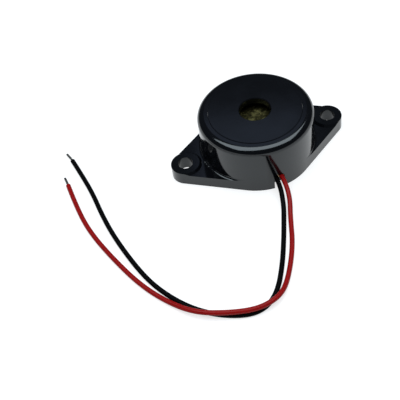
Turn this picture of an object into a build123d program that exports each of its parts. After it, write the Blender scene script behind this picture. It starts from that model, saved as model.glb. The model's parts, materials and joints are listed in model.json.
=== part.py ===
from build123d import *
import math
import os

# A self-driven piezo buzzer: a round case with two mounting ears, a brass sounding element under
# its sound hole, a driver board behind that, and two lead wires that leave through one notch.
# Millimetres. Origin: centre of the drum's foot. +X runs along the ears, -Y is the notch's side,
# and +Z points up, out of the sound hole.

# ---- Case ----
drum_radius = 11.1
drum_height = 10.75
edge_round = 1.35
face_radius = 8.9            # flat front face, a little proud of the rounded edge
face_step = 0.12
front_thickness = 1.3
sound_hole_radius = 3.0
hole_chamfer = 0.15
hole_spacing = 30.0
ear_hole_radius = 1.45
ear_end_radius = 2.85
web_height = 2.4
pad_rise = 0.4
pad_slope = 0.45
pad_edge = 0.1               # bevel left outside the pad's flat top, at the ear's end
ear_root_round = 0.45
wall = 1.6
foot_wall = 1.2              # thinner wall at the foot, which leaves the board's seat
notch_width = 2.1
notch_rise = 0.6             # from the board's seat up to where the notch's arch begins
notch_overshoot = 1.0        # how far the cut starts outside the wall

# ---- Sounding element ----
hole_to_disc = 0.9           # air under the front plate
shoulder_width = 0.9
disc_thickness = 0.2
disc_gap = 0.2               # between the disc's rim and the wall
ceramic_radius = 7.0
ceramic_thickness = 0.2
silver_margin = 0.6
silver_thickness = 0.03
feedback_width = 1.8
feedback_length = 4.6
feedback_gap = 0.4
adhesive_width = 0.5
adhesive_height = 0.6
brass_dot_angle = 40         # degrees round from the notch's side to the solder dot on the brass

# ---- Board and cover ----
board_thickness = 0.8
board_room = 0.5             # air between the cover and the board's underside
board_gap = 0.15
board_hole_radius = 0.38
cover_recess = 0.1
cover_thickness = 0.6
cover_gap = 0.15
cover_rim_width = 0.55
solder_radius = 0.75
leg_solder_radius = 0.6
solder_top = 0.35
solder_bottom = 0.3
solder_cap = 0.1             # solder below a pin's end

# ---- Parts on the board ----
inductor_place = (-4.6, 2.0)
inductor_radius = 2.9
inductor_post_radius = 1.2
inductor_flange = 0.8
inductor_height = 4.4
winding_radius = 2.5
inductor_pin_radius = 0.3
inductor_pin_spacing = 2.5
transistor_place = (5.0, -0.4)
transistor_width = 4.4
transistor_thickness = 3.4
transistor_length = 4.4
leg_width = 0.4
leg_pitch = 1.27
leg_reach = 1.1
resistor_length = 2.0
resistor_width = 1.25
resistor_height = 0.5
terminal_length = 0.4
resistor_places = ((-1.2, -3.2), (1.8, 4.2), (1.8, 6.4))
feedback_pad = (-0.6, 6.2)   # where each thin wire leaves the board
drive_pad = (4.4, -5.0)
brass_pad = (-5.2, -4.4)
jumper_radius = 0.15
jumper_bends = (0.45, 0.7)   # shares of a thin wire's rise at which it bends
element_solder_radius = 0.9
element_solder_height = 0.45

# ---- Lead wires ----
lead_diameter = 0.92
strand_radius = 0.24
strand_depth = 0.15          # how far a thin wire sinks into a solder dot
strand_run = 0.5             # strand's straight run before it bends aside
strand_fall = 0.05           # and how much lower it is over its hole
lead_pad_x = 1.45
lead_pad_inset = 4.2         # from the drum's wall to the leads' holes in the board
arc_share = 0.45             # of the shorter run beside a corner

# ---- Worked out from the sizes above ----
shell_height = drum_height - face_step
bore_radius = drum_radius - wall
foot_bore_radius = drum_radius - foot_wall
front_underside = drum_height - front_thickness
disc_top = front_underside - hole_to_disc
disc_bottom = disc_top - disc_thickness
disc_radius = bore_radius - disc_gap
shoulder_radius = bore_radius - shoulder_width
ceramic_bottom = disc_bottom - ceramic_thickness
silver_bottom = ceramic_bottom - silver_thickness
silver_radius = ceramic_radius - silver_margin
feedback_end_y = silver_radius - feedback_length + feedback_width / 2
brass_ring = disc_radius - adhesive_width - ceramic_radius    # bare brass round the ceramic
half_spacing = hole_spacing / 2
board_bottom = cover_recess + cover_thickness + board_room
board_seat = board_bottom + board_thickness    # step that the board's top face rests on
board_radius = foot_bore_radius - board_gap
cover_radius = foot_bore_radius - cover_gap
pin_end = board_bottom - solder_bottom + solder_cap
notch_radius = notch_width / 2
notch_straight = board_seat + notch_rise
lead_pad_y = lead_pad_inset - drum_radius

# The leads' routes, from the insulation's end inside the case, through the notch, to the cut end.
# Here y is measured from the drum's wall at the notch, and inside the case z goes with the board.
# On the ground the centre line lies at 0.47; the red lead climbs over the black one and down again.
black_route = [
    (-0.50, 2.50, board_seat + 0.48),
    (-0.50, -1.20, board_seat + 0.48),
    (-1.60, -5.40, 1.20),
    (-2.70, -7.95, 0.47),
    (-4.60, -12.25, 0.47),
    (-7.00, -17.15, 0.47),
    (-9.85, -21.80, 0.47),
    (-12.85, -24.15, 0.47),
    (-16.35, -24.35, 0.47),
    (-21.15, -22.15, 0.47),
    (-25.25, -18.50, 0.47),
    (-28.70, -13.10, 0.47),
    (-30.75, -7.50, 0.47),
    (-32.65, 1.00, 0.47),
    (-33.40, 7.25, 0.47),
    (-33.70, 13.40, 0.47),
    (-34.45, 19.05, 0.47),
    (-35.25, 23.85, 0.47),
]
black_tip_route = [
    (-35.25, 23.85, 0.47),
    (-35.37, 24.57, 0.47),
    (-35.90, 26.25, 0.44),
]
red_route = [
    (0.45, 2.50, board_seat + 0.85),
    (0.45, -1.30, board_seat + 0.85),
    (0.00, -4.65, 1.68),
    (-1.35, -7.80, 0.47),
    (-3.65, -14.15, 0.47),
    (-7.45, -20.60, 0.50),
    (-10.30, -23.60, 1.42),
    (-14.35, -24.40, 1.42),
    (-19.10, -23.20, 1.42),
    (-24.25, -20.90, 1.41),
    (-27.80, -16.60, 0.50),
    (-31.25, -11.10, 0.47),
    (-34.15, -3.70, 0.47),
    (-36.55, 4.10, 0.47),
    (-37.45, 11.00, 0.47),
    (-37.65, 17.65, 0.47),
]
red_tip_route = [
    (-37.65, 17.65, 0.47),
    (-37.67, 18.315, 0.47),
    (-37.82, 19.95, 0.44),
]

STANDING = (Align.CENTER, Align.CENTER, Align.MIN)


def lathe(points):
    """Solid of revolution about Z from (radius, height) points, joined by straight lines."""
    outline = Polyline(*[(r, 0, z) for r, z in points], close=True)
    return revolve(make_face(outline), Axis.Z)


def ring_round(radius, height, size):
    """Hollow quarter-round that fills the corner between an upright wall and a flat top."""
    centre = (radius + size, height + size)
    middle = size * math.sqrt(0.5)
    outline = [
        Line((radius, 0, height), (radius + size, 0, height)),
        ThreePointArc(
            (radius + size, 0, height),
            (centre[0] - middle, 0, centre[1] - middle),
            (radius, 0, height + size),
        ),
        Line((radius, 0, height + size), (radius, 0, height)),
    ]
    return revolve(make_face(outline), Axis.Z)


def ear_outline():
    """Plan of the flange: the drum's circle and two ear circles, joined by their tangent lines."""
    lean = math.acos((drum_radius - ear_end_radius) / half_spacing)
    drum_x, drum_y = drum_radius * math.cos(lean), drum_radius * math.sin(lean)
    ear_x = half_spacing + ear_end_radius * math.cos(lean)
    ear_y = ear_end_radius * math.sin(lean)
    tip_x = half_spacing + ear_end_radius
    edges = [
        ThreePointArc((ear_x, -ear_y), (tip_x, 0), (ear_x, ear_y)),
        Line((ear_x, ear_y), (drum_x, drum_y)),
        ThreePointArc((drum_x, drum_y), (0, drum_radius), (-drum_x, drum_y)),
        Line((-drum_x, drum_y), (-ear_x, ear_y)),
        ThreePointArc((-ear_x, ear_y), (-tip_x, 0), (-ear_x, -ear_y)),
        Line((-ear_x, -ear_y), (-drum_x, -drum_y)),
        ThreePointArc((-drum_x, -drum_y), (0, -drum_radius), (drum_x, -drum_y)),
        Line((drum_x, -drum_y), (ear_x, -ear_y)),
    ]
    return make_face(edges)


def notch():
    """Arched doorway through the wall at the foot, as the solid that is cut away for the leads."""
    y = -drum_radius - notch_overshoot
    outline = [
        Line((-notch_radius, y, -notch_overshoot), (notch_radius, y, -notch_overshoot)),
        Line((notch_radius, y, -notch_overshoot), (notch_radius, y, notch_straight)),
        ThreePointArc(
            (notch_radius, y, notch_straight),
            (0, y, notch_straight + notch_radius),
            (-notch_radius, y, notch_straight),
        ),
        Line((-notch_radius, y, notch_straight), (-notch_radius, y, -notch_overshoot)),
    ]
    return extrude(make_face(outline), notch_overshoot + drum_radius - shoulder_radius, dir=(0, 1, 0))


def case():
    """The one-piece moulding: drum, ears, pads, sound hole, stepped bore and wire notch."""
    drum = Cylinder(drum_radius, shell_height, align=STANDING)
    drum = fillet(drum.edges().group_by(Axis.Z)[-1], edge_round)
    face = Cone(face_radius + face_step, face_radius, face_step, align=STANDING)
    drum += Pos(0, 0, shell_height) * face

    plan = ear_outline()
    pad_top = web_height + pad_rise
    flange = extrude(plan, web_height)
    prism = extrude(plan, web_height + max(pad_rise, ear_root_round))
    root = ring_round(drum_radius, web_height, ear_root_round)
    moulding = drum + flange + (root & prism)
    pad_radius = ear_end_radius - pad_edge
    pad = Cone(pad_radius + pad_slope, pad_radius, pad_rise, align=STANDING)
    for side in (-1, 1):
        moulding += Pos(side * half_spacing, 0, web_height) * pad & prism

    bore = lathe([
        (0, 0), (foot_bore_radius, 0), (foot_bore_radius, board_seat), (bore_radius, board_seat),
        (bore_radius, disc_top), (shoulder_radius, disc_top), (shoulder_radius, front_underside),
        (sound_hole_radius, front_underside), (sound_hole_radius, drum_height - hole_chamfer),
        (sound_hole_radius + hole_chamfer, drum_height), (0, drum_height),
    ])
    cuts = [bore]
    for side in (-1, 1):
        hole = Cylinder(ear_hole_radius, pad_top, align=STANDING)
        cuts.append(Pos(side * half_spacing, 0, 0) * hole)
    cuts.append(notch())
    for cut in cuts:
        moulding -= cut
    return moulding


def back_cover():
    """Shallow cover pressed in at the foot; its rim holds the board against its seat."""
    rim_inner = cover_radius - cover_rim_width
    top = cover_recess + cover_thickness
    return lathe([
        (0, cover_recess), (cover_radius, cover_recess), (cover_radius, board_bottom),
        (rim_inner, board_bottom), (rim_inner, top), (0, top),
    ])


def diaphragm():
    """Brass disc whose rim seats under the case's shoulder."""
    return Pos(0, 0, disc_bottom) * Cylinder(disc_radius, disc_thickness, align=STANDING)


def piezo_ceramic():
    """Ceramic disc bonded to the underside of the brass."""
    return Pos(0, 0, ceramic_bottom) * Cylinder(ceramic_radius, ceramic_thickness, align=STANDING)


def feedback_outline(margin):
    """Plan of the feedback tongue: it runs in from the silver's edge and has a round end."""
    width = feedback_width + 2 * margin
    tongue = Rectangle(width, feedback_length, align=(Align.CENTER, Align.MIN)) + Circle(width / 2)
    return Pos(0, feedback_end_y) * tongue & Circle(silver_radius)


def electrode(plan):
    """Silver of the given plan, fired on the underside of the ceramic."""
    return extrude(Pos(0, 0, silver_bottom) * plan, silver_thickness)


def diaphragm_adhesive():
    """Bead round the disc's rim that glues it to the shoulder and the wall."""
    return lathe([
        (disc_radius - adhesive_width, disc_bottom), (disc_radius, disc_bottom),
        (disc_radius, disc_top), (bore_radius, disc_top),
        (bore_radius, disc_bottom - adhesive_height),
    ])


def circuit_board(holes):
    """Round board, drilled for every pin, leg and wire in holes."""
    board = Cylinder(board_radius, board_thickness, align=STANDING)
    for x, y in holes:
        board -= Pos(x, y, 0) * Cylinder(board_hole_radius, board_thickness, align=STANDING)
    return Pos(0, 0, board_bottom) * board


def inductor_core():
    """Ferrite drum core that stands on the board."""
    x, y = inductor_place
    upper = inductor_height - inductor_flange
    core = lathe([
        (0, 0), (inductor_radius, 0), (inductor_radius, inductor_flange),
        (inductor_post_radius, inductor_flange), (inductor_post_radius, upper),
        (inductor_radius, upper), (inductor_radius, inductor_height), (0, inductor_height),
    ])
    return Pos(x, y, board_seat) * core


def inductor_winding():
    """The wound turns, as the one body of wire that fills the core's groove."""
    x, y = inductor_place
    length = inductor_height - 2 * inductor_flange
    coil = Cylinder(winding_radius, length, align=STANDING)
    coil -= Cylinder(inductor_post_radius, length, align=STANDING)
    return Pos(x, y, board_seat + inductor_flange) * coil


def inductor_pin_places():
    x, y = inductor_place
    return [(x, y - inductor_pin_spacing / 2), (x, y + inductor_pin_spacing / 2)]


def inductor_pin(x, y):
    """Round pin from the core's foot down through the board."""
    return Pos(x, y, pin_end) * Cylinder(inductor_pin_radius, board_seat - pin_end, align=STANDING)


def transistor_body():
    """Moulded body laid on its flat side, with a half-round top."""
    x, y = transistor_place
    radius = transistor_width / 2
    block = Rectangle(transistor_width, transistor_thickness, align=(Align.CENTER, Align.MIN))
    section = block & Pos(0, transistor_thickness - radius) * Circle(radius)
    body = extrude(Plane.XZ * section, transistor_length / 2, both=True)
    return Pos(x, y, board_seat) * body


def transistor_leg_places():
    x, y = transistor_place
    leg_y = y + transistor_length / 2 + leg_reach
    return [(x + i * leg_pitch, leg_y) for i in (-1, 0, 1)]


def transistor_leg(x, y):
    """Square leg that leaves the body level and turns down through the board."""
    start_y = transistor_place[1] + transistor_length / 2
    top = board_seat + 2 * leg_width
    reach = y - start_y + leg_width / 2
    level = Box(leg_width, reach, leg_width, align=(Align.CENTER, Align.MIN, Align.MAX))
    down = Box(leg_width, leg_width, top - pin_end, align=STANDING)
    return Pos(x, start_y, top) * level + Pos(x, y, pin_end) * down


def resistor_body(x, y):
    """Middle of a chip resistor, between its two end terminals."""
    length = resistor_length - 2 * terminal_length
    return Pos(x, y, board_seat) * Box(length, resistor_width, resistor_height, align=STANDING)


def resistor_end(x, y, side):
    """One plated end terminal of a chip resistor."""
    centre = side * (resistor_length - terminal_length) / 2
    end = Box(terminal_length, resistor_width, resistor_height, align=STANDING)
    return Pos(x + centre, y, board_seat) * end


def board_joint(x, y, pin, radius, two_sided=True):
    """Solder that fills one hole of the board round its pin, with a cone on one or both sides."""
    bottom = board_bottom - solder_bottom
    points = [
        (0, bottom), (board_hole_radius, bottom), (radius, board_bottom),
        (board_hole_radius, board_bottom), (board_hole_radius, board_seat),
    ]
    if two_sided:
        top = board_seat + solder_top
        points += [(radius, board_seat), (board_hole_radius, top), (0, top)]
    else:
        points.append((0, board_seat))
    return Pos(x, y, 0) * lathe(points) - pin


def element_joint(x, y, top, radius, wire):
    """Solder dot under the sounding element, round the end of its thin wire."""
    dot = Cone(radius / 2, radius, element_solder_height, align=STANDING)
    return Pos(x, y, top - element_solder_height) * dot - wire


def arc_radii(points):
    """Radius for each corner of a route, as large as the shorter run beside it allows."""
    places = [Vector(*p) for p in points]
    radii = []
    for before, corner, after in zip(places, places[1:], places[2:]):
        shorter = min((corner - before).length, (after - corner).length)
        turn = math.radians((corner - before).get_angle(after - corner))
        radii.append(arc_share * shorter / math.tan(turn / 2))
    return radii


def tube(name, points, radius):
    """Round tube along straight runs joined by tangent arcs."""
    radii = arc_radii(points)
    path = FilletPolyline(*points, radius=radii)
    section = Plane(origin=path @ 0, z_dir=path % 0) * Circle(radius)
    body = sweep(section, path=path)
    expected = math.pi * radius ** 2 * path.length
    print(name, "length", round(path.length, 2), "radii", [round(r, 1) for r in radii])
    print(name, "volume", round(body.volume, 3), "section times length", round(expected, 3))
    return body


def jumper(name, pad, dot, top):
    """Thin wire from a hole in the board up to a solder dot on the sounding element."""
    end = top - element_solder_height + strand_depth
    low, high = [board_seat + share * (end - board_seat) for share in jumper_bends]
    points = [(*pad, pin_end), (*pad, low), (*dot, high), (*dot, end)]
    return tube(name, points, jumper_radius)


def from_axis(route):
    """A route's points with y measured from the drum's axis."""
    return [(x, y - drum_radius, z) for x, y, z in route]


def board_end(name, start, pad):
    """Bare strand from the insulation's end inward, aside and down through the board."""
    x, y, z = start
    points = [(x, y, z), (x, y + strand_run, z), (*pad, z - strand_fall), (*pad, pin_end)]
    return tube(name, points, strand_radius)


os.makedirs("parts", exist_ok=True)

# Where each thin wire meets the sounding element, and the size of its solder dot.
feedback_dot = (0, feedback_end_y)
drive_dot = (silver_radius / 2, -silver_radius / 2)
brass_dot_radius = brass_ring / 2    # it fills the bare ring from the ceramic to the adhesive
turn = math.radians(brass_dot_angle)
from_centre = ceramic_radius + brass_ring / 2
brass_dot = (-from_centre * math.sin(turn), -from_centre * math.cos(turn))

jumpers = {
    "feedback_jumper": (feedback_pad, feedback_dot, silver_bottom, element_solder_radius),
    "drive_jumper": (drive_pad, drive_dot, silver_bottom, element_solder_radius),
    "brass_jumper": (brass_pad, brass_dot, disc_bottom, brass_dot_radius),
}
nodes = {}
drilled = []
board_joints = []
element_joints = []
for name, (pad, dot, top, dot_radius) in jumpers.items():
    nodes[name] = jumper(name, pad, dot, top)
    drilled.append(pad)
    board_joints.append(board_joint(*pad, nodes[name], solder_radius))
    element_joints.append(element_joint(*dot, top, dot_radius, nodes[name]))

leads = {
    "black_lead": (from_axis(black_route), from_axis(black_tip_route), (-lead_pad_x, lead_pad_y)),
    "red_lead": (from_axis(red_route), from_axis(red_tip_route), (lead_pad_x, lead_pad_y)),
}
for name, (route, tip_route, pad) in leads.items():
    nodes[name] = tube(name, route, lead_diameter / 2)
    nodes[name + "_tip"] = tube(name + "_tip", tip_route, strand_radius)
    nodes[name + "_board_end"] = board_end(name + "_board_end", route[0], pad)
    drilled.append(pad)
    board_joints.append(board_joint(*pad, nodes[name + "_board_end"], solder_radius))

inductor_pins = [inductor_pin(x, y) for x, y in inductor_pin_places()]
for (x, y), pin in zip(inductor_pin_places(), inductor_pins):
    drilled.append((x, y))
    board_joints.append(board_joint(x, y, pin, solder_radius, two_sided=False))

transistor_legs = [transistor_leg(x, y) for x, y in transistor_leg_places()]
for (x, y), leg in zip(transistor_leg_places(), transistor_legs):
    drilled.append((x, y))
    board_joints.append(board_joint(x, y, leg, leg_solder_radius))

nodes["case"] = case()
nodes["back_cover"] = back_cover()
nodes["diaphragm"] = diaphragm()
nodes["diaphragm_adhesive"] = diaphragm_adhesive()
nodes["piezo_ceramic"] = piezo_ceramic()
nodes["main_electrode"] = electrode(Circle(silver_radius) - feedback_outline(feedback_gap))
nodes["feedback_electrode"] = electrode(feedback_outline(0))
nodes["circuit_board"] = circuit_board(drilled)
nodes["inductor_core"] = inductor_core()
nodes["inductor_winding"] = inductor_winding()
nodes["inductor_pins"] = Compound(children=inductor_pins)
nodes["transistor_body"] = transistor_body()
nodes["transistor_legs"] = Compound(children=transistor_legs)
nodes["resistor_bodies"] = Compound(children=[resistor_body(*place) for place in resistor_places])
nodes["resistor_terminals"] = Compound(
    children=[resistor_end(x, y, side) for x, y in resistor_places for side in (-1, 1)]
)
nodes["board_solder"] = Compound(children=board_joints)
nodes["element_solder"] = Compound(children=element_joints)

for name, solid in nodes.items():
    export_step(solid, f"parts/{name}.step")
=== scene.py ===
"""Looks of a piezo buzzer: glossy black case, brass sounding disc, driver board and two vinyl leads."""

import json
import math

import bpy
from mathutils import Matrix, Vector


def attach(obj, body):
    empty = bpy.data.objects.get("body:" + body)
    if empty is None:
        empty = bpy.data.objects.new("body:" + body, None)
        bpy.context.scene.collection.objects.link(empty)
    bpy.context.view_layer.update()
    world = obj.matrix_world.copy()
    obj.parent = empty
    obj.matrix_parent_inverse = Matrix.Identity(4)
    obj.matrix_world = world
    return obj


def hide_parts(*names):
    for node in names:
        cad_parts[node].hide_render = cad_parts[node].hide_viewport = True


bl_info = {
    "name": "Piezo Buzzer",
    "version": (1, 0, 0),
    "blender": (4, 5, 0),
    "location": "3D View > Sidebar > Buzzer",
    "description": "Builds the leads, strands and finishes of a piezo buzzer, and its stage",
    "category": "Object",
}

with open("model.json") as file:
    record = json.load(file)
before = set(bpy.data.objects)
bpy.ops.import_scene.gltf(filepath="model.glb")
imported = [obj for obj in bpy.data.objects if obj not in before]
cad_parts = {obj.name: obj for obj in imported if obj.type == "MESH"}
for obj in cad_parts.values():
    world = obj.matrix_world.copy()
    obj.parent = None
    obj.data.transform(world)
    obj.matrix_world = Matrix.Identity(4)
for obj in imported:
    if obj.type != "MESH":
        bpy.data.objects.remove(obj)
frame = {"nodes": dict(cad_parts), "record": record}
MM = 0.001
ROOT = "root"

# The leads' routes in millimetres, from inside the case, out through the notch, to the cut end.
BLACK_ROUTE = [
    (-0.50, -8.60, 2.48),
    (-0.50, -12.30, 2.48),
    (-1.60, -16.50, 1.20),
    (-2.70, -19.05, 0.47),
    (-4.60, -23.35, 0.47),
    (-7.00, -28.25, 0.47),
    (-9.85, -32.90, 0.47),
    (-12.85, -35.25, 0.47),
    (-16.35, -35.45, 0.47),
    (-21.15, -33.25, 0.47),
    (-25.25, -29.60, 0.47),
    (-28.70, -24.20, 0.47),
    (-30.75, -18.60, 0.47),
    (-32.65, -10.10, 0.47),
    (-33.40, -3.85, 0.47),
    (-33.70, 2.30, 0.47),
    (-34.45, 7.95, 0.47),
    (-35.25, 12.75, 0.47),
]
BLACK_TIP_ROUTE = [
    (-35.25, 12.75, 0.47),
    (-35.37, 13.47, 0.47),
    (-35.90, 15.15, 0.44),
]
RED_ROUTE = [
    (0.45, -8.60, 2.85),
    (0.45, -12.40, 2.85),
    (0.00, -15.75, 1.68),
    (-1.35, -18.90, 0.47),
    (-3.65, -25.25, 0.47),
    (-7.45, -31.70, 0.50),
    (-10.30, -34.70, 1.42),
    (-14.35, -35.50, 1.42),
    (-19.10, -34.30, 1.42),
    (-24.25, -32.00, 1.41),
    (-27.80, -27.70, 0.50),
    (-31.25, -22.20, 0.47),
    (-34.15, -14.80, 0.47),
    (-36.55, -7.00, 0.47),
    (-37.45, -0.10, 0.47),
    (-37.65, 6.55, 0.47),
]
RED_TIP_ROUTE = [
    (-37.65, 6.55, 0.47),
    (-37.67, 7.215, 0.47),
    (-37.82, 8.85, 0.44),
]

STRAND_COUNT = 7             # one in the middle and six round it
STRAND_LAY = 0.93            # offset of an outer strand, as a share of its thickness
STRAND_STEP = 0.02 * MM      # how unevenly the strands are cut


# ---- Settings ----

class BuzzerSettings(bpy.types.PropertyGroup):
    """Sizes and colours of the buzzer that a user may change."""

    lead_diameter: bpy.props.FloatProperty(
        name="Lead diameter", description="Diameter over a lead's insulation",
        default=0.92 * MM, unit="LENGTH", precision=5)
    strand_diameter: bpy.props.FloatProperty(
        name="Strand diameter", description="Diameter of one wire of a bare end",
        default=0.17 * MM, unit="LENGTH", precision=5)
    strand_pitch: bpy.props.FloatProperty(
        name="Strand pitch", description="Length in which the strands turn once round",
        default=5.5 * MM, unit="LENGTH", precision=5)
    case_colour: bpy.props.FloatVectorProperty(
        name="Case", description="Colour of the moulded case", subtype="COLOR",
        size=3, min=0, max=1, default=(0.0022, 0.0025, 0.0034))
    brass_colour: bpy.props.FloatVectorProperty(
        name="Brass", description="Colour of the sounding disc", subtype="COLOR",
        size=3, min=0, max=1, default=(0.17, 0.155, 0.06))
    red_colour: bpy.props.FloatVectorProperty(
        name="Red lead", description="Colour of the red insulation", subtype="COLOR",
        size=3, min=0, max=1, default=(0.28, 0.003, 0.003))
    black_colour: bpy.props.FloatVectorProperty(
        name="Black lead", description="Colour of the black insulation", subtype="COLOR",
        size=3, min=0, max=1, default=(0.0014, 0.0014, 0.0016))
    floor_glow: bpy.props.FloatProperty(
        name="Floor glow", description="Light that the white table gives off by itself",
        default=0.72, min=0)
    softbox_power: bpy.props.FloatProperty(
        name="Softbox", description="Power of the overhead softbox", default=5.2, min=0, unit="POWER")


# ---- Node helpers ----

def add(tree, kind, **values):
    """A node of the given kind, with its settings and its unlinked inputs."""
    node = tree.nodes.new(kind)
    for name, value in values.items():
        if name in node.inputs:
            node.inputs[name].default_value = value
        else:
            setattr(node, name, value)
    return node


def new_group(name, inputs, outputs):
    """An empty shader node group with float inputs, its defaults, and named float outputs."""
    group = bpy.data.node_groups.new(name, "ShaderNodeTree")
    group.interface.new_socket("Vector", in_out="INPUT", socket_type="NodeSocketVector")
    for label, value in inputs.items():
        socket = group.interface.new_socket(label, in_out="INPUT", socket_type="NodeSocketFloat")
        socket.default_value = value
    for label in outputs:
        group.interface.new_socket(label, in_out="OUTPUT", socket_type="NodeSocketFloat")
    return group, group.nodes.new("NodeGroupInput"), group.nodes.new("NodeGroupOutput")


def math_node(tree, operation, a, b):
    """A maths node that takes sockets or plain numbers."""
    node = tree.nodes.new("ShaderNodeMath")
    node.operation = operation
    for index, value in enumerate((a, b)):
        if isinstance(value, bpy.types.NodeSocket):
            tree.links.new(value, node.inputs[index])
        else:
            node.inputs[index].default_value = value
    return node.outputs[0]


def moulded_skin_group():
    """Two scales of gentle unevenness, as a moulded or drawn surface has."""
    group, given, out = new_group(
        "Moulded skin", {"Coarse": 400.0, "Fine": 6000.0, "Fine share": 0.35}, ("Mask", "Height"))
    coarse = add(group, "ShaderNodeTexNoise", Detail=3.0, Roughness=0.5)
    fine = add(group, "ShaderNodeTexNoise", Detail=2.0, Roughness=0.6)
    for node, scale in ((coarse, "Coarse"), (fine, "Fine")):
        group.links.new(given.outputs["Vector"], node.inputs["Vector"])
        group.links.new(given.outputs[scale], node.inputs["Scale"])
    part = math_node(group, "MULTIPLY", fine.outputs["Fac"], given.outputs["Fine share"])
    group.links.new(coarse.outputs["Fac"], out.inputs["Mask"])
    group.links.new(math_node(group, "ADD", coarse.outputs["Fac"], part), out.inputs["Height"])
    return group


def specks_group():
    """Sparse small specks: lint on dark plastic, pits in solder, grains in ceramic."""
    group, given, out = new_group("Specks", {"Scale": 900.0, "Size": 0.12}, ("Mask",))
    cells = add(group, "ShaderNodeTexVoronoi", feature="F1", Randomness=1.0)
    group.links.new(given.outputs["Vector"], cells.inputs["Vector"])
    group.links.new(given.outputs["Scale"], cells.inputs["Scale"])
    near = math_node(group, "LESS_THAN", cells.outputs["Distance"], given.outputs["Size"])
    split = group.nodes.new("ShaderNodeSeparateColor")
    group.links.new(cells.outputs["Color"], split.inputs["Color"])
    rare = math_node(group, "GREATER_THAN", split.outputs["Red"], 0.82)
    group.links.new(math_node(group, "MULTIPLY", near, rare), out.inputs["Mask"])
    return group


def rolled_grain_group():
    """Fine parallel lines with breaks, as rolled or brushed metal shows."""
    group, given, out = new_group("Rolled grain", {"Scale": 9000.0, "Length": 0.06}, ("Mask",))
    stretch = group.nodes.new("ShaderNodeVectorMath")
    stretch.operation = "MULTIPLY"
    factors = group.nodes.new("ShaderNodeCombineXYZ")
    factors.inputs["Y"].default_value = 1.0
    factors.inputs["Z"].default_value = 1.0
    group.links.new(given.outputs["Length"], factors.inputs["X"])
    group.links.new(given.outputs["Vector"], stretch.inputs[0])
    group.links.new(factors.outputs["Vector"], stretch.inputs[1])
    lines = add(group, "ShaderNodeTexNoise", Detail=4.0, Roughness=0.7)
    group.links.new(stretch.outputs["Vector"], lines.inputs["Vector"])
    group.links.new(given.outputs["Scale"], lines.inputs["Scale"])
    group.links.new(lines.outputs["Fac"], out.inputs["Mask"])
    return group


class Finish:
    """One material under construction: its tree, its shader and the groups placed in it."""

    def __init__(self, name, **shader):
        self.material = bpy.data.materials.new(name)
        self.material.use_nodes = True
        self.tree = self.material.node_tree
        self.shader = self.tree.nodes["Principled BSDF"]
        for label, value in shader.items():
            self.shader.inputs[label.replace("_", " ")].default_value = value
        self.place = self.tree.nodes.new("ShaderNodeTexCoord").outputs["Object"]

    def mask(self, group, output="Mask", **values):
        """An output of a shared group, set with this material's own values."""
        node = self.tree.nodes.new("ShaderNodeGroup")
        node.node_tree = bpy.data.node_groups[group]
        for label, value in values.items():
            node.inputs[label.replace("_", " ")].default_value = value
        self.tree.links.new(self.place, node.inputs["Vector"])
        return node.outputs[output]

    def spread(self, mask, low, high, start=0.3, end=0.7):
        """The mask between start and end, carried over to the range from low to high."""
        node = add(self.tree, "ShaderNodeMapRange", interpolation_type="SMOOTHSTEP")
        self.tree.links.new(mask, node.inputs["Value"])
        for label, value in (("From Min", start), ("From Max", end), ("To Min", low), ("To Max", high)):
            node.inputs[label].default_value = value
        return node.outputs["Result"]

    def colour(self, mask, dark, light):
        """Base colour that goes from dark to light over the mask."""
        mix = add(self.tree, "ShaderNodeMix", data_type="RGBA")
        ends = [socket for socket in mix.inputs if socket.name in "AB" and socket.type == "RGBA"]
        for socket, value in zip(ends, (dark, light)):
            socket.default_value = (*value, 1)
        self.tree.links.new(mask, mix.inputs["Factor"])
        result = [socket for socket in mix.outputs if socket.type == "RGBA"][0]
        self.tree.links.new(result, self.shader.inputs["Base Color"])
        return self

    def roughness(self, mask, low, high, start=0.3, end=0.7):
        self.tree.links.new(self.spread(mask, low, high, start, end), self.shader.inputs["Roughness"])
        return self

    def bump(self, height, strength, depth):
        node = add(self.tree, "ShaderNodeBump", Strength=strength, Distance=depth)
        self.tree.links.new(height, node.inputs["Height"])
        self.tree.links.new(node.outputs["Normal"], self.shader.inputs["Normal"])
        return self


def lighter(colour, factor):
    """The colour times a factor, kept within 1."""
    return tuple(min(1.0, part * factor) for part in colour)


# ---- Materials ----

def case_plastic(settings):
    """Glossy black moulding: deep black, with a faint ripple and a little lint."""
    finish = Finish("case_plastic", IOR=1.5, Specular_Tint=(0.92, 0.98, 1.0, 1.0))
    skin = finish.mask("Moulded skin", Coarse=260.0, Fine=5200.0, Fine_share=0.12)
    finish.roughness(skin, 0.09, 0.13)
    lint = finish.mask("Specks", Scale=520.0, Size=0.04)
    base = tuple(settings.case_colour)
    finish.colour(lint, base, (0.009, 0.010, 0.012))
    height = finish.mask("Moulded skin", output="Height", Coarse=260.0, Fine=5200.0, Fine_share=0.12)
    return finish.bump(height, 0.06, 0.00006).material


def cover_plastic(settings):
    """Satin black moulding behind the board."""
    finish = Finish("cover_plastic", IOR=1.5)
    skin = finish.mask("Moulded skin", Coarse=700.0, Fine=9000.0, Fine_share=0.6)
    base = lighter(settings.case_colour, 2.6)
    finish.colour(skin, base, lighter(base, 1.7)).roughness(skin, 0.38, 0.52)
    height = finish.mask("Moulded skin", output="Height", Coarse=1500.0, Fine=12000.0, Fine_share=0.8)
    return finish.bump(height, 0.35, 0.00004).material


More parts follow.
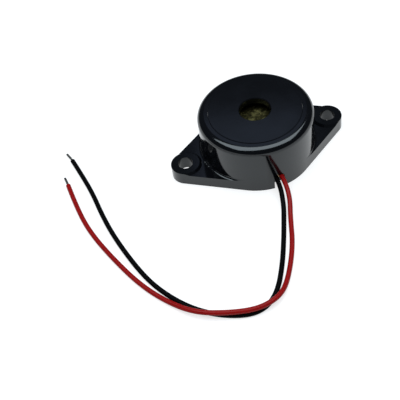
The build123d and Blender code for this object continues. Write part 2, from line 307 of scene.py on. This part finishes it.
def brass(settings):
    """Rolled brass with fine lines, dull patches and a few bright scratches."""
    finish = Finish("brass", Metallic=1.0)
    grain = finish.mask("Rolled grain", Scale=5200.0, Length=0.35)
    patches = finish.mask("Moulded skin", Coarse=900.0, Fine=5000.0, Fine_share=0.3)
    base = tuple(settings.brass_colour)
    finish.colour(finish.spread(patches, 0.0, 1.0, 0.42, 0.68), lighter(base, 0.22), base)
    finish.roughness(grain, 0.2, 0.4)
    return finish.bump(grain, 0.6, 0.00006).material


def adhesive(settings):
    """Milky silicone bead."""
    finish = Finish("adhesive", IOR=1.41)
    skin = finish.mask("Moulded skin", Coarse=900.0, Fine=3000.0)
    finish.colour(skin, (0.52, 0.52, 0.48), (0.72, 0.72, 0.69)).roughness(skin, 0.25, 0.42)
    return finish.bump(skin, 0.5, 0.0001).material


def ceramic(settings):
    """Fired piezo ceramic: pale buff with fine grains."""
    finish = Finish("ceramic", IOR=1.6)
    skin = finish.mask("Moulded skin", Coarse=800.0, Fine=9000.0, Fine_share=0.7)
    finish.colour(skin, (0.56, 0.49, 0.34), (0.70, 0.63, 0.47)).roughness(skin, 0.5, 0.68)
    return finish.bump(finish.mask("Specks", Scale=5000.0, Size=0.2), 0.3, 0.00002).material


def silver(settings):
    """Fired silver film, dull and slightly yellowed."""
    finish = Finish("silver", Metallic=1.0)
    grain = finish.mask("Rolled grain", Scale=4200.0, Length=0.2)
    finish.colour(grain, (0.66, 0.63, 0.55), (0.86, 0.85, 0.81)).roughness(grain, 0.42, 0.6)
    return finish.bump(grain, 0.3, 0.00002).material


def board(settings):
    """Phenolic board with paper fibres."""
    finish = Finish("board", IOR=1.5)
    fibre = finish.mask("Rolled grain", Scale=2600.0, Length=0.15)
    finish.colour(fibre, (0.28, 0.17, 0.06), (0.46, 0.32, 0.13)).roughness(fibre, 0.4, 0.55)
    return finish.bump(fibre, 0.25, 0.00003).material


def ferrite(settings):
    """Pressed ferrite, dull grey-black and slightly porous."""
    finish = Finish("ferrite", IOR=1.6)
    pits = finish.mask("Specks", Scale=6500.0, Size=0.25)
    # The pits are painted darker as well as bumped in: painted shade in the pores.
    finish.colour(pits, (0.045, 0.043, 0.043), (0.018, 0.017, 0.017))
    finish.roughness(finish.mask("Moulded skin", Coarse=1500.0), 0.55, 0.72)
    return finish.bump(pits, -0.4, 0.00003).material


def copper_wire(settings):
    """Enamelled copper turns, wound closely round the core."""
    finish = Finish("copper_wire", Metallic=0.9, Coat_Weight=0.6, Coat_Roughness=0.08)
    turns = add(finish.tree, "ShaderNodeTexWave", wave_type="BANDS", bands_direction="Z", Scale=1550.0)
    turns.inputs["Distortion"].default_value = 0.4
    finish.tree.links.new(finish.place, turns.inputs["Vector"])
    # The colour is darker in the grooves between the turns than on their crests: painted shade.
    finish.colour(turns.outputs["Fac"], (0.12, 0.035, 0.012), (0.55, 0.19, 0.07))
    finish.roughness(finish.mask("Moulded skin", Coarse=1200.0), 0.22, 0.34)
    return finish.bump(turns.outputs["Fac"], 0.9, 0.00006).material


def tinned(name, dull, bright, rough):
    """Tin-plated metal with soft drawn lines."""
    finish = Finish(name, Metallic=1.0)
    grain = finish.mask("Rolled grain", Scale=7000.0, Length=0.12)
    finish.colour(grain, dull, bright).roughness(grain, *rough)
    return finish.bump(grain, 0.3, 0.00002).material


def tinned_pin(settings):
    """Bright plated pins, legs and terminals."""
    return tinned("tinned_pin", (0.52, 0.52, 0.51), (0.74, 0.74, 0.73), (0.2, 0.36))


def jumper_wire(settings):
    """Thin tinned hook-up wire."""
    return tinned("jumper_wire", (0.55, 0.55, 0.54), (0.76, 0.76, 0.75), (0.18, 0.3))


def tinned_strand(settings):
    """Solder-dipped wire strands."""
    return tinned("tinned_strand", (0.10, 0.10, 0.09), (0.30, 0.30, 0.29), (0.2, 0.38))


def epoxy(settings):
    """Transistor's moulded epoxy."""
    finish = Finish("epoxy", IOR=1.5)
    skin = finish.mask("Moulded skin", Coarse=2500.0, Fine=14000.0, Fine_share=0.8)
    finish.colour(skin, (0.010, 0.010, 0.011), (0.022, 0.022, 0.023)).roughness(skin, 0.45, 0.62)
    return finish.bump(skin, 0.4, 0.00003).material


def resistor_body(settings):
    """Glazed top of a chip resistor."""
    finish = Finish("resistor_body", IOR=1.5, Coat_Weight=0.5)
    skin = finish.mask("Moulded skin", Coarse=1800.0)
    finish.colour(skin, (0.012, 0.012, 0.014), (0.03, 0.03, 0.034))
    return finish.roughness(skin, 0.2, 0.32).material


def solder(settings):
    """Bright solder with flux specks."""
    finish = Finish("solder", Metallic=1.0)
    flux = finish.mask("Specks", Scale=4200.0, Size=0.3)
    skin = finish.mask("Moulded skin", Coarse=2200.0, Fine=9000.0)
    finish.colour(flux, (0.70, 0.70, 0.71), (0.30, 0.22, 0.10)).roughness(skin, 0.16, 0.34)
    return finish.bump(skin, 0.35, 0.00004).material


def vinyl(name, colour, deep, rough, gloss):
    """Soft extruded vinyl: faint colour drift, fine bloom and a low ripple along the lead."""
    finish = Finish(name, Specular_IOR_Level=gloss)
    skin = finish.mask("Moulded skin", Coarse=500.0, Fine=7000.0, Fine_share=0.5)
    finish.colour(skin, deep, colour).roughness(skin, *rough)
    height = finish.mask("Moulded skin", output="Height", Coarse=900.0, Fine=9000.0, Fine_share=0.4)
    return finish.bump(height, 0.25, 0.00004).material


def red_insulation(settings):
    """Red vinyl."""
    colour = tuple(settings.red_colour)
    return vinyl("red_insulation", colour, lighter(colour, 0.78), (0.34, 0.46), 0.12)


def black_insulation(settings):
    """Black vinyl."""
    colour = tuple(settings.black_colour)
    return vinyl("black_insulation", lighter(colour, 1.5), colour, (0.42, 0.55), 0.03)


FINISHES = {
    "case_plastic": case_plastic, "cover_plastic": cover_plastic, "brass": brass,
    "adhesive": adhesive, "ceramic": ceramic, "silver": silver, "board": board,
    "ferrite": ferrite, "copper_wire": copper_wire, "tinned_pin": tinned_pin, "epoxy": epoxy,
    "resistor_body": resistor_body, "solder": solder, "jumper_wire": jumper_wire,
    "tinned_strand": tinned_strand, "red_insulation": red_insulation,
    "black_insulation": black_insulation,
}


def share_groups():
    """Makes the shared node groups that are not there yet."""
    for name, make in (("Moulded skin", moulded_skin_group), ("Specks", specks_group),
                       ("Rolled grain", rolled_grain_group)):
        if name not in bpy.data.node_groups:
            make()


def finish_for(slot, settings):
    """The material of a slot, made the first time that it is asked for."""
    share_groups()
    found = bpy.data.materials.get("buzzer_" + slot)
    if found is None:
        found = FINISHES[slot](settings)
        found.name = "buzzer_" + slot
    return found


def refinish(settings, *names):
    """Gives CAD nodes the finish of their own material slots."""
    slots = {part["node"]: part["material_slot"] for part in frame["record"]["subparts"]}
    for name in names:
        frame["nodes"][name].material_slots[0].material = finish_for(slots[name], settings)


# ---- Leads ----

def route_curve(name, route, diameter):
    """A smooth round lead along a route given in millimetres."""
    data = bpy.data.curves.new(name, "CURVE")
    data.dimensions = "3D"
    data.resolution_u = 14
    data.bevel_depth = diameter / 2
    data.bevel_resolution = 5
    data.use_fill_caps = True
    spline = data.splines.new("NURBS")
    spline.points.add(len(route) - 1)
    for point, place in zip(spline.points, route):
        point.co = (*(Vector(place) * MM), 1)
    spline.order_u = 3
    spline.use_endpoint_u = True
    lead = bpy.data.objects.new(name, data)
    bpy.context.scene.collection.objects.link(lead)
    return lead


def centre_line(route):
    """Points along the smooth line of a route, in metres."""
    guide = route_curve("guide", route, 0.0)
    bpy.context.view_layer.update()
    line = bpy.data.meshes.new_from_object(guide)
    points = [vertex.co.copy() for vertex in line.vertices]
    curve = guide.data
    bpy.data.objects.remove(guide)
    bpy.data.curves.remove(curve)
    bpy.data.meshes.remove(line)
    return points


def strand_places(points, offset, phase, pitch, cut):
    """Points of one strand that winds round the line, and stops a little short of its end."""
    total = sum((b - a).length for a, b in zip(points, points[1:]))
    places = []
    run = 0.0
    for index, point in enumerate(points):
        ahead = points[min(index + 1, len(points) - 1)] - points[max(index - 1, 0)]
        ahead.normalize()
        side = ahead.cross(Vector((0, 0, 1))).normalized()
        up = side.cross(ahead)
        if index:
            run += (point - points[index - 1]).length
        if run > total - cut:
            break
        angle = phase + 2 * math.pi * run / pitch
        places.append(point + offset * (math.cos(angle) * side + math.sin(angle) * up))
    return places


def bare_end(name, route, settings):
    """Twisted, solder-dipped strands of a cut lead, as one mesh."""
    points = centre_line(route)
    thick = settings.strand_diameter
    data = bpy.data.curves.new(name, "CURVE")
    data.dimensions = "3D"
    data.bevel_depth = thick / 2
    data.bevel_resolution = 3
    data.use_fill_caps = True
    for index in range(STRAND_COUNT):
        offset = thick * STRAND_LAY if index else 0.0
        cut = STRAND_STEP * ((index * 5) % STRAND_COUNT)
        spline = data.splines.new("POLY")
        places = strand_places(points, offset, index * math.pi / 3, settings.strand_pitch, cut)
        spline.points.add(len(places) - 1)
        for point, place in zip(spline.points, places):
            point.co = (*place, 1)
    bundle = bpy.data.objects.new(name, data)
    bpy.context.scene.collection.objects.link(bundle)
    bpy.ops.object.select_all(action="DESELECT")
    bundle.select_set(True)
    bpy.context.view_layer.objects.active = bundle
    bpy.ops.object.convert(target="MESH")
    bundle = bpy.context.view_layer.objects.active
    bpy.ops.object.shade_smooth_by_angle(angle=math.radians(50))
    return bundle


def route_length(route):
    """Length of a route's smooth line, in metres."""
    points = centre_line(route)
    return sum((b - a).length for a, b in zip(points, points[1:]))


def make_lead(colour, route, tip_route, settings):
    """One insulated lead with its bare end, attached to the root body in place of the CAD lead and its
    tip.
    """
    tip = bare_end(colour + "_strands", tip_route, settings)
    tip.data.materials.append(finish_for("tinned_strand", settings))
    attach(tip, ROOT)
    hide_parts(colour + "_lead_tip")
    lead = route_curve(colour + "_insulation", route, settings.lead_diameter)
    lead.data.materials.append(finish_for(colour + "_insulation", settings))
    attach(lead, ROOT)
    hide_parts(colour + "_lead")
    route_length(route)


# ---- Stage ----

# The camera's target and distance are in millimetres, its lens and sensor as on a real camera.
CAMERA_TARGET = (-15.889, -11.474, 4.452)
CAMERA_AZIMUTH = math.radians(-12.177)
CAMERA_ELEVATION = math.radians(49.172)
CAMERA_ROLL = math.radians(-9.857)
CAMERA_DISTANCE = 146.01
CAMERA_LENS = 71.98
CAMERA_SENSOR = 36

# Places, sizes and powers of the lights, in metres and watts, and the size of the table.
TABLE_SIZE = 4.0
OVERHEAD_PLACE = (0.0, 0.03, 0.55)
OVERHEAD_SIZE = (0.78, 0.5)
OVERHEAD_COLOUR = (0.86, 0.94, 1.0)
FILL_PLACE = (0.125, 0.379, 0.50)
FILL_SIZE = (0.11, 0.16)
FILL_POWER = 0.023
FILL_COLOUR = (0.58, 0.70, 1.0)
ROOM_COLOUR = (0.78, 0.86, 1.0, 1)
ROOM_STRENGTH = 0.06


def place_camera():
    """Camera that looks down on the buzzer from its notch side."""
    azimuth, elevation, roll = CAMERA_AZIMUTH, CAMERA_ELEVATION, CAMERA_ROLL
    back = Vector((math.sin(azimuth) * math.cos(elevation),
                   -math.cos(azimuth) * math.cos(elevation), math.sin(elevation)))
    level = (-back).cross(Vector((0, 0, 1))).normalized()
    upright = level.cross(-back)
    right = level * math.cos(roll) + upright * math.sin(roll)
    up = upright * math.cos(roll) - level * math.sin(roll)
    data = bpy.data.cameras.new("camera")
    data.lens = CAMERA_LENS
    data.sensor_width = CAMERA_SENSOR
    data.clip_start = 0.005
    camera = bpy.data.objects.new("camera", data)
    bpy.context.scene.collection.objects.link(camera)
    turn = Matrix((right, up, back)).transposed().to_4x4()
    place = (Vector(CAMERA_TARGET) + back * CAMERA_DISTANCE) * MM
    camera.matrix_world = Matrix.Translation(place) @ turn
    bpy.context.scene.camera = camera


def softbox(name, place, size, power, colour):
    """Rectangular soft light that faces the buzzer."""
    data = bpy.data.lights.new(name, "AREA")
    data.shape = "RECTANGLE"
    data.size, data.size_y = size
    data.energy = power
    data.color = colour
    light = bpy.data.objects.new(name, data)
    bpy.context.scene.collection.objects.link(light)
    light.location = place
    light.rotation_euler = (-Vector(place)).to_track_quat("-Z", "Y").to_euler()


def white_table(settings):
    """Matt white table that glows a little, so that shadows on it stay faint."""
    finish = Finish("white_table", Roughness=0.9)
    skin = finish.mask("Moulded skin", Coarse=60.0, Fine=900.0)
    finish.shader.inputs["Specular IOR Level"].default_value = 0.0
    finish.colour(skin, (0.36, 0.36, 0.36), (0.38, 0.38, 0.38))
    finish.shader.inputs["Emission Color"].default_value = (1, 1, 1, 1)
    finish.shader.inputs["Emission Strength"].default_value = settings.floor_glow
    return finish.material


# ---- Operators ----

class BUZZER_OT_stage(bpy.types.Operator):
    """Adds the white table, the softboxes, the room's dim light and the camera"""
    bl_idname = "buzzer.stage"
    bl_label = "Stage"

    def execute(self, context):
        settings = context.scene.buzzer
        share_groups()
        place_camera()
        bpy.ops.object.select_all(action="DESELECT")
        bpy.ops.mesh.primitive_plane_add(size=TABLE_SIZE, location=(0, 0, 0))
        table = context.view_layer.objects.active
        table.name = "table"
        table.data.materials.append(white_table(settings))
        softbox("overhead", OVERHEAD_PLACE, OVERHEAD_SIZE, settings.softbox_power, OVERHEAD_COLOUR)
        softbox("back_fill", FILL_PLACE, FILL_SIZE, FILL_POWER, FILL_COLOUR)
        world = bpy.data.worlds.new("room")
        world.use_nodes = True
        background = world.node_tree.nodes["Background"]
        background.inputs["Color"].default_value = ROOM_COLOUR
        background.inputs["Strength"].default_value = ROOM_STRENGTH
        context.scene.world = world
        context.scene.view_settings.view_transform = "Standard"
        return {"FINISHED"}


class BUZZER_OT_leads(bpy.types.Operator):
    """Makes the red and the black lead with their bare twisted ends"""
    bl_idname = "buzzer.leads"
    bl_label = "Leads"

    def execute(self, context):
        settings = context.scene.buzzer
        make_lead("black", BLACK_ROUTE, BLACK_TIP_ROUTE, settings)
        make_lead("red", RED_ROUTE, RED_TIP_ROUTE, settings)
        refinish(settings, "black_lead", "red_lead", "black_lead_tip", "red_lead_tip",
                 "black_lead_board_end", "red_lead_board_end")
        return {"FINISHED"}


class BUZZER_OT_case(bpy.types.Operator):
    """Finishes the moulded case and its back cover"""
    bl_idname = "buzzer.case"
    bl_label = "Case and cover"

    def execute(self, context):
        refinish(context.scene.buzzer, "case", "back_cover")
        return {"FINISHED"}


class BUZZER_OT_element(bpy.types.Operator):
    """Finishes the brass disc, the ceramic and what is bonded to them"""
    bl_idname = "buzzer.element"
    bl_label = "Sounding element"

    def execute(self, context):
        refinish(context.scene.buzzer, "diaphragm", "piezo_ceramic", "main_electrode",
                 "feedback_electrode", "diaphragm_adhesive", "element_solder")
        return {"FINISHED"}


class BUZZER_OT_driver(bpy.types.Operator):
    """Finishes the board and every part on it"""
    bl_idname = "buzzer.driver"
    bl_label = "Driver board"

    def execute(self, context):
        refinish(context.scene.buzzer, "circuit_board", "inductor_core", "inductor_winding",
                 "inductor_pins", "transistor_body", "transistor_legs", "resistor_bodies",
                 "resistor_terminals", "board_solder", "brass_jumper", "drive_jumper",
                 "feedback_jumper")
        return {"FINISHED"}


class BUZZER_PT_panel(bpy.types.Panel):
    """Lists the steps that build the buzzer"""
    bl_idname = "BUZZER_PT_panel"
    bl_label = "Piezo buzzer"
    bl_space_type = "VIEW_3D"
    bl_region_type = "UI"
    bl_category = "Buzzer"

    def draw(self, context):
        settings = context.scene.buzzer
        for name in ("lead_diameter", "strand_diameter", "strand_pitch", "case_colour",
                     "brass_colour", "red_colour", "black_colour", "floor_glow", "softbox_power"):
            self.layout.prop(settings, name)
        for step in STEPS:
            self.layout.operator(step.bl_idname)


STEPS = (BUZZER_OT_stage, BUZZER_OT_leads, BUZZER_OT_case, BUZZER_OT_element, BUZZER_OT_driver)
CLASSES = (BuzzerSettings, *STEPS, BUZZER_PT_panel)


def register():
    for item in CLASSES:
        bpy.utils.register_class(item)
    bpy.types.Scene.buzzer = bpy.props.PointerProperty(type=BuzzerSettings)


def unregister():
    del bpy.types.Scene.buzzer
    for item in reversed(CLASSES):
        bpy.utils.unregister_class(item)


def main():
    """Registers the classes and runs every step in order."""
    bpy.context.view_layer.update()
    register()
    bpy.ops.buzzer.stage()
    bpy.ops.buzzer.leads()
    bpy.ops.buzzer.case()
    bpy.ops.buzzer.element()
    bpy.ops.buzzer.driver()


if __name__ == "__main__":
    main()
